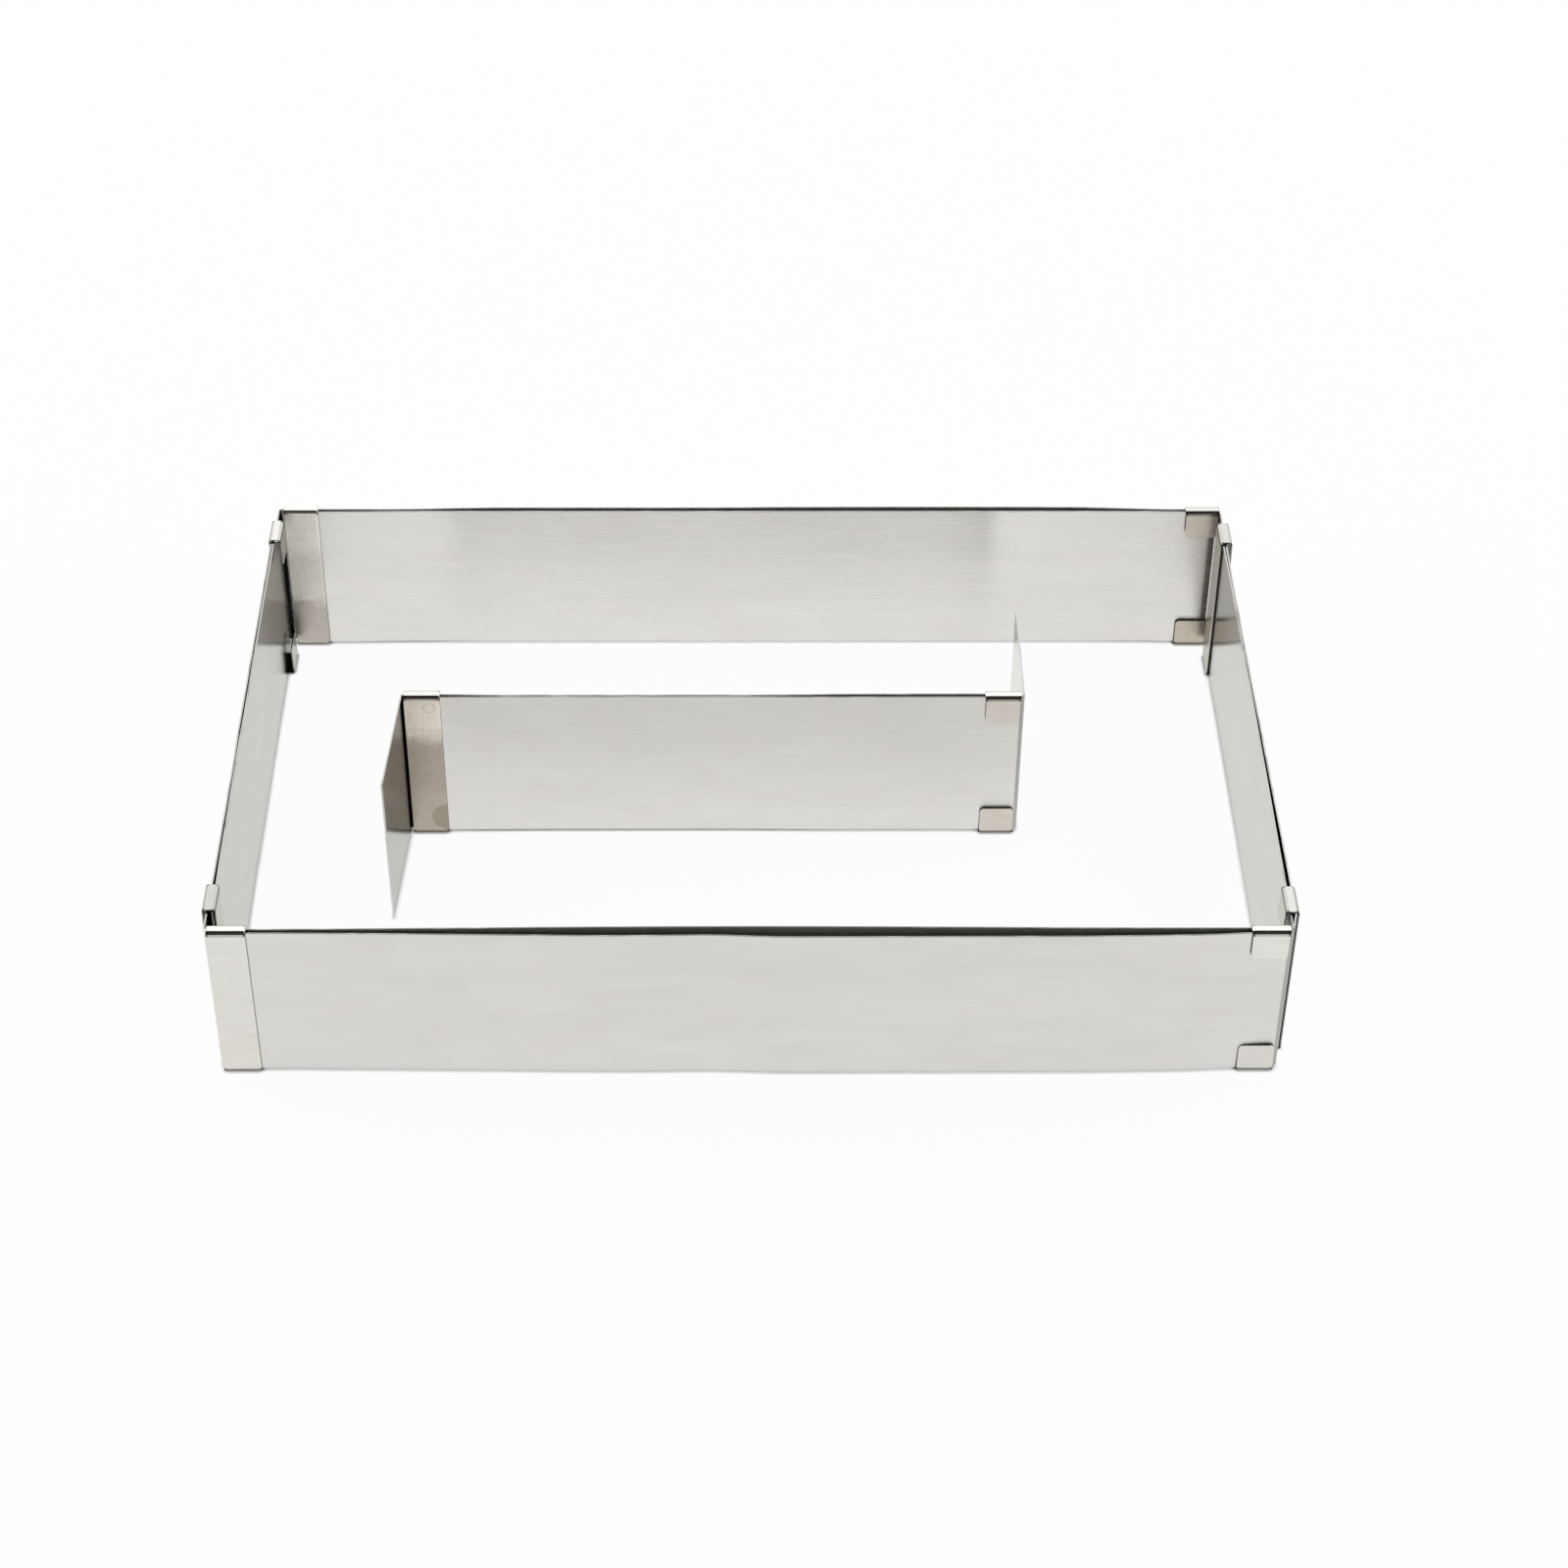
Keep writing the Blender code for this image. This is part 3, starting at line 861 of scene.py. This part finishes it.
def plate_finish(name, hand, seed, painted_light_square_on=0.865, painted_bend_light=0.8, painted_light_grazing=0.66, streak=0.05, reach=0.006,
                 blur=0.32):
    """The steel of one plate. Its levels square on and at a low angle are painted light, set to how
    brightly its wall is lit.

    The bend's argument is painted light: a highlight above 1 and shade below it. streak sets how the
    brushing shows, reach how far off another sheet paints shade on this one, and blur how softly it
    mirrors square on.
    """
    glancing = scaled(GLANCING_STEEL, painted_light_grazing)
    material, tree, shader, place, along, across = steel_shader(name, 1.0, 0.25, glancing)
    coarse = streaks_of(tree, place, seed, *COARSE_STREAK)
    fine = streaks_of(tree, place, seed + 5.0, *FINE_STREAK)
    bands = streaks_of(tree, place, seed + 9.0, *ROLLER_BAND)
    streaks = calc(tree, "ADD", calc(tree, "MULTIPLY", coarse, 0.5), calc(tree, "MULTIPLY", fine, 0.5))
    colour, level = handled_steel(tree, place, seed, painted_light_square_on)
    level = calc(tree, "MULTIPLY_ADD", streaks, streak, level)
    level = calc(tree, "MULTIPLY_ADD", bands, ROLLER_SHADE, level)
    # Painted light on the bend: a highlight on some plates, shade on others.
    level = painted_light_at_bend(tree, level, along, hand, painted_bend_light)
    half = (PLATE_TOP - PLATE_BOTTOM) / 2
    from_middle = away_from(tree, across, PLATE_BOTTOM + half)
    # The top and bottom cut edges are darker: sheared metal, and painted shade beside them.
    level = sheared_and_shaded_edge(tree, level, from_middle, half, PLATE_EDGE_SHADE)
    tree.links.new(with_painted_seam_shade(tree, colour, level, reach), shader.inputs["Base Color"])
    facing = node(tree, "ShaderNodeLayerWeight", Blend=0.5).outputs["Facing"]
    rough = spread(tree, facing, SQUARE_ON, GRAZING, blur, GRAZING_BLUR)
    rough = calc(tree, "MULTIPLY_ADD", streaks, STREAK_BLUR, rough)
    tree.links.new(rough, shader.inputs["Roughness"])
    emboss(tree, shader, streaks, STREAK_BUMP)
    return material


print("coarse and fine streaks are", COARSE_STREAK[1] * 1000, "and", FINE_STREAK[1] * 1000, "mm across")

# %% Finish the six plates
# Levels square on and at a low angle are painted light, set to how brightly each wall is lit.
PLATE_LOOKS = {
    "front_left_plate": dict(painted_bend_light=1.1, streak=0.035, reach=0.009),
    "front_right_plate": dict(painted_bend_light=0.5, painted_light_grazing=0.72, streak=0.035, reach=0.009),
    "back_right_plate": dict(painted_light_square_on=0.88, painted_bend_light=1.1, reach=0.0035, blur=0.28),
    "back_left_plate": dict(painted_light_square_on=0.80, painted_light_grazing=0.70, blur=0.28),
    "divider_left_plate": dict(painted_light_square_on=0.87, painted_light_grazing=0.60, streak=0.075),
    "divider_right_plate": dict(painted_light_square_on=0.92, painted_bend_light=0.5, painted_light_grazing=0.85, streak=0.075),
}
for k, (name, plate) in enumerate(plates.items()):
    hand = PLATES[name][0]
    steel = plate_finish(name.replace("plate", "steel"), hand, 17.0 * k, **PLATE_LOOKS[name])
    plate.data.materials.append(steel)
print(len(plates), "plates finished")

# %% [markdown]
# ## The finish of the clips
#
# The clips are less even than the plates. Handling and the heat of spot welding have mottled them,
# and some have turned brown, most of all low on the band. Two welds of the divider's left clip show,
# one as a faint ring and one as a scorched spot. Folding has burnished the roof of each clip and
# made the folds beside it smoother. The roof's colour is painted light, set for each clip to how
# brightly it mirrors, and the folds carry painted shade, with a painted highlight on one clip. The
# blank's map gives the height on the flat blank, so a fold's mask is a range of distances from the
# blank's middle, the same at both ends.

# %% Colours up the band, and two welds
LOW_TO_MIDDLE = (0.015, 0.019)
MIDDLE_TO_TOP = (0.033, 0.041)
BROWN_TINT = (0.66, 0.64, 0.60, 1)
WELD = dict(Centre=(0.0072, 0.0475, 0.0), Radius=0.0016, Softness=0.0005)
SCORCH = dict(Centre=(0.0106, 0.0063, 0.0), Radius=0.0044, Softness=0.0008)
WELD_SHARE, SCORCH_SHARE = 0.6, 0.7


def up_the_band(tree, height, low, middle, top):
    """Three colours, one above the other, that run into each other."""
    risen = spread(tree, height, *LOW_TO_MIDDLE, 0.0, 1.0)
    colour = blend_colours(tree, risen, (*low, 1), (*middle, 1))
    return blend_colours(tree, spread(tree, height, *MIDDLE_TO_TOP, 0.0, 1.0), colour, (*top, 1))


def weld_stains(tree, place, colour):
    """A colour with the faint ring of one weld and the scorched spot of the other."""
    brown = tinted(tree, colour, BROWN_TINT)
    weld = use_group(tree, weld_mark, Place=place, **WELD).outputs
    scorch = use_group(tree, weld_mark, Place=place, **SCORCH).outputs
    colour = stained(tree, colour, weld["Ring"], WELD_SHARE, brown)
    colour = stained(tree, colour, scorch["Disc"], SCORCH_SHARE, brown)
    return stained(tree, colour, scorch["Ring"], SCORCH_SHARE, brown)


print("a weld's ring is", round(WELD["Radius"] * 2000, 1), "mm across")

# %% The burnished roof and its folds
FOLD_RUN = CLIP_RADIUS * QUARTER
FOLD_BLEND, ROOF_BLEND = 0.0004, 0.0003


def between(tree, value, start, stop, softness):
    """A mask that is 1 from start to stop, with soft ends outside them."""
    return calc(tree, "SUBTRACT", spread(tree, value, start - softness, start, 0.0, 1.0),
                spread(tree, value, stop, stop + softness, 0.0, 1.0))


def roof_and_folds(tree, from_middle):
    """Masks for the flat roof of a clip, for the folds on both sides of it, and for all of that."""
    start = roof_end - ROOF_RUN
    flat_roof = between(tree, from_middle, start, roof_end, ROOF_BLEND)
    burnished = between(tree, from_middle, start - FOLD_RUN, roof_end + FOLD_RUN, FOLD_BLEND)
    return flat_roof, calc(tree, "SUBTRACT", burnished, flat_roof), burnished


print("a clip's roof is", round(ROOF_RUN * 1000, 1), "mm across, and a fold", round(FOLD_RUN * 1000, 1))

# %% The steel of one clip
SMUDGE = (0.0009, 0.008, 0.002)
SMUDGE_BLUR, CLOUD_BUMP = 0.02, 0.2
CLIP_MARK = 0.0035
CLOUD_RISE, CLOUD_SHADE = 0.004, 0.05
HEAT_TINT = (0.96, 0.87, 0.81, 1)
OLIVE_TINT = (0.90, 0.91, 0.83, 1)
PAINTED_ROOF_STEEL = (1.0, 0.98, 0.94)
GLANCING_CLIP = (0.70, 0.69, 0.67, 1)
CLIP_BLUR, FOLD_BLUR = 0.28, 0.10
CLIP_EDGE_SHADE = 0.35
CLIP_SHADE_REACH = 0.003


def clip_finish(name, seed, top=(0.76, 0.745, 0.705), middle=(0.74, 0.725, 0.685),
                low=(0.69, 0.675, 0.63), mottle=0.15, roof=0.76, painted_fold_level=0.62, welded=False):
    """The steel of one clip: the colours up its band, how mottled it is, and the painted light on its
    roof and its folds.
    """
    material, tree, shader, place, along, across = steel_shader(name, 0.5, 0.0, GLANCING_CLIP)
    smudges = streaks_of(tree, place, seed, *SMUDGE)
    marks = use_group(tree, hand_marks, Place=place, Size=CLIP_MARK, Seed=seed).outputs
    cloud = calc(tree, "ADD", calc(tree, "MULTIPLY", marks["Shade"], 0.6),
                 calc(tree, "MULTIPLY", smudges, 0.4))
    height = calc(tree, "MULTIPLY_ADD", cloud, CLOUD_RISE, across)
    colour = up_the_band(tree, height, low, middle, top)
    colour = stained(tree, colour, marks["Warm"], mottle, tinted(tree, colour, HEAT_TINT))
    colour = stained(tree, colour, marks["Cool"], mottle, tinted(tree, colour, OLIVE_TINT))
    if welded:
        colour = weld_stains(tree, place, colour)

    from_middle = away_from(tree, across, CLIP_TOP / 2)
    flat_roof, folded, burnished = roof_and_folds(tree, from_middle)
    # The roof's colour is painted light, set for each clip to how brightly it mirrors.
    colour = blend_colours(tree, flat_roof, colour, scaled(PAINTED_ROOF_STEEL, roof))
    level = calc(tree, "MULTIPLY_ADD", cloud, CLOUD_SHADE, 1.0)
    # Painted shade on the folds; a level above 1 paints a highlight instead.
    level = darkened(tree, level, folded, painted_fold_level)

    half = CLIP_WIDTH / 2
    from_side = away_from(tree, along, half)
    # Painted shade carries the folds' dark line out over the rolled edge.
    curled = spread(tree, from_side, half - ROLLED_EDGE, half - ROLLED_EDGE / 2, 0.0, 1.0)
    level = darkened(tree, level, calc(tree, "MULTIPLY", folded, curled), CLIP_EDGE_SHADE)
    # The cut edges are darker: sheared metal, and painted shade of the gap beside them.
    level = sheared_and_shaded_edge(tree, level, from_side, half, CLIP_EDGE_SHADE)
    level = sheared_and_shaded_edge(tree, level, from_middle, half_blank, CLIP_EDGE_SHADE)
    tree.links.new(with_painted_seam_shade(tree, colour, level, CLIP_SHADE_REACH), shader.inputs["Base Color"])
    rough = calc(tree, "MULTIPLY_ADD", burnished, FOLD_BLUR - CLIP_BLUR, CLIP_BLUR)
    rough = calc(tree, "MULTIPLY_ADD", smudges, SMUDGE_BLUR, rough)
    tree.links.new(rough, shader.inputs["Roughness"])
    emboss(tree, shader, cloud, CLOUD_BUMP)
    return material


print("a clip's roughness is", CLIP_BLUR, "on the band and", FOLD_BLUR, "on the roof and folds")

# %% Finish the ten clips
# Roof and fold levels are painted light, set for each clip.
CLIP_LOOKS = {
    "front_wall_left_clip": dict(top=(0.74, 0.725, 0.69), middle=(0.74, 0.725, 0.685),
                                 low=(0.73, 0.71, 0.665), mottle=0.25),
    "back_wall_left_clip": dict(top=(0.78, 0.765, 0.72), middle=(0.635, 0.615, 0.565),
                                low=(0.46, 0.435, 0.395), mottle=0.6, painted_fold_level=1.2),
    "back_wall_right_clip": dict(top=(0.70, 0.645, 0.575), middle=(0.67, 0.615, 0.54),
                                 low=(0.54, 0.49, 0.415), mottle=0.7, roof=0.66),
    "divider_left_clip": dict(top=(0.73, 0.68, 0.61), middle=(0.40, 0.35, 0.30),
                              low=(0.43, 0.39, 0.335), mottle=0.6, welded=True),
    "divider_right_clip": dict(top=(0.63, 0.595, 0.545), middle=(0.65, 0.61, 0.56),
                               low=(0.64, 0.605, 0.55), mottle=0.7),
    "left_wall_front_clip": dict(roof=0.52),
    "right_wall_front_clip": dict(roof=0.62),
    "right_wall_back_clip": dict(roof=0.58),
    "left_wall_back_clip": dict(roof=0.70),
}
for k, (name, clip) in enumerate(clips.items()):
    clip.data.materials.append(clip_finish(name + "_steel", 7.0 * k, **CLIP_LOOKS.get(name, {})))
print(len(clips), "clips finished")
